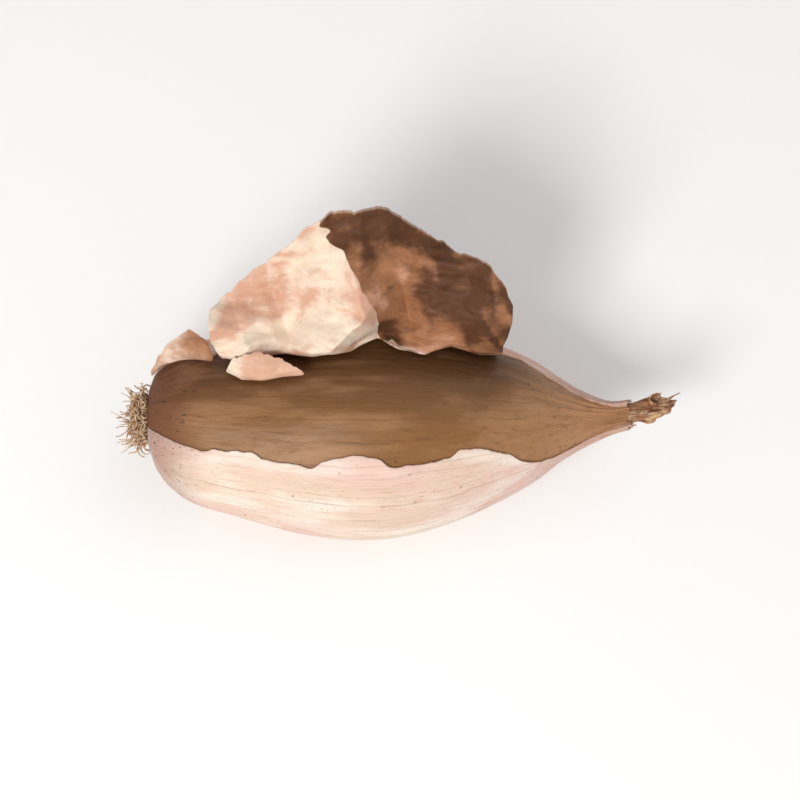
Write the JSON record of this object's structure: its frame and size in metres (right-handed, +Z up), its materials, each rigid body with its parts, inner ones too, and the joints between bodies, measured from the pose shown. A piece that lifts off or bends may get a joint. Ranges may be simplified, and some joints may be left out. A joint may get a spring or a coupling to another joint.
{
  "type": "pink shallot",
  "caption": "Whole dry pink shallot lying on its side: ridged spindle bulb with torn papery skin curling off its top, curly root tuft and shrivelled open neck.",
  "frame": {"origin": "on the small flat spot that the bulb rests on, under its widest part", "axes": "+X along the shallot from the root end to the neck, +Z up from the resting surface, torn skin towards +Y"},
  "size_m": [0.0788, 0.0371, 0.0435],
  "materials": {
    "skin": "satin",
    "skin_inside": "satin",
    "root": "matte",
    "sheath": "matte"
  },
  "bodies": {
    "root": {"bulb": "skin", "root_tuft": "root", "dry_neck": "sheath", "peeled_skin": "skin_inside", "root_skin_flake": "skin_inside", "skin_lip": "skin_inside"}
  },
  "joints": []
}
